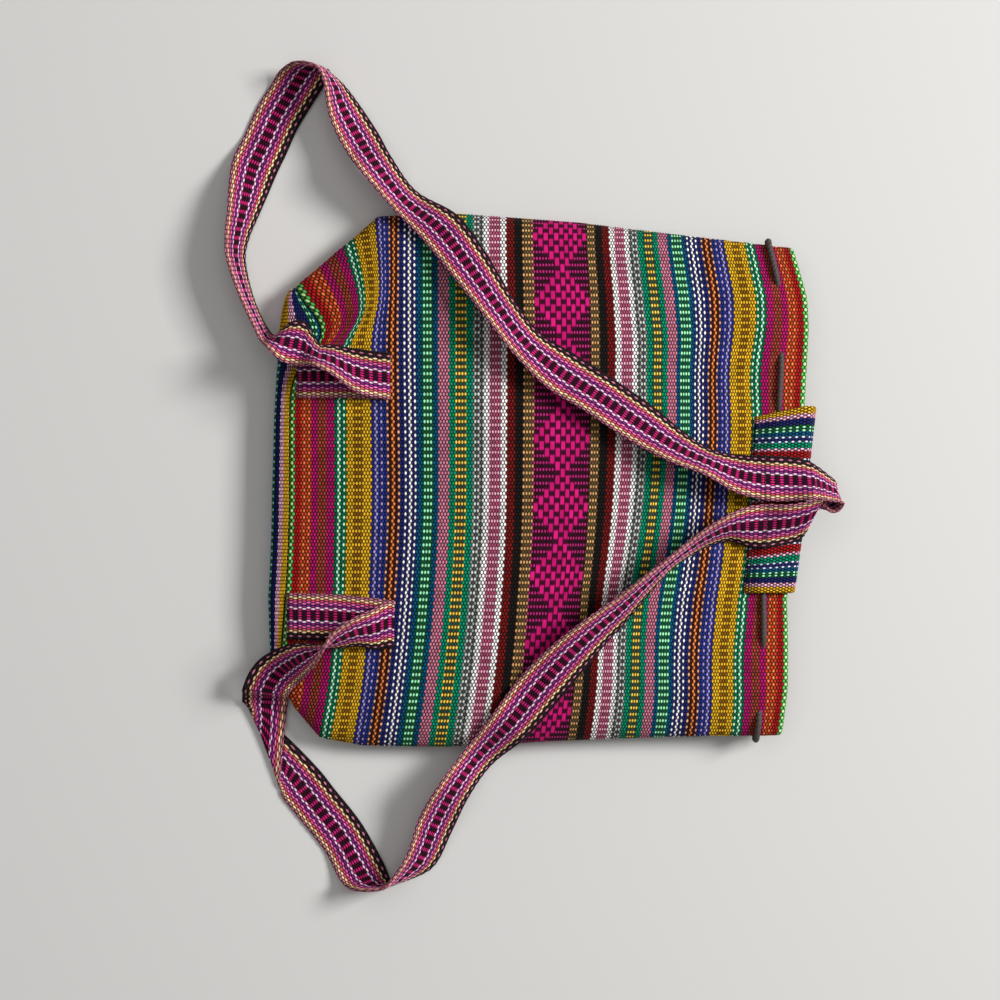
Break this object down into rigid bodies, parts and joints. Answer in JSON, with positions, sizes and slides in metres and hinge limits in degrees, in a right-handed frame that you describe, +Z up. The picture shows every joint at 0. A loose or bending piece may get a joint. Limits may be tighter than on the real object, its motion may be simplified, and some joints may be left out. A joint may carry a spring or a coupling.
{
  "type": "woven drawstring backpack",
  "caption": "Soft striped cloth bag with a drawn mouth, a folded flap and one long woven strap that makes both shoulder loops, lying on its front.",
  "frame": {"origin": "on the surface that the bag lies on, under the middle of the cloth body", "axes": "+X from the base to the mouth, +Y across the bag towards its upper side in the picture, +Z up out of the strap side"},
  "size_m": [0.3949, 0.5322, 0.067],
  "materials": {
    "striped_cloth": "warp-faced woven cotton",
    "border_cloth": "warp-faced woven cotton",
    "strap_webbing": "narrow woven band",
    "cord": "round braided cord"
  },
  "bodies": {
    "root": {"body_panel": "striped_cloth", "base_panel": "border_cloth", "flap": "border_cloth", "shoulder_strap": "strap_webbing", "drawstring": "cord"}
  },
  "joints": []
}
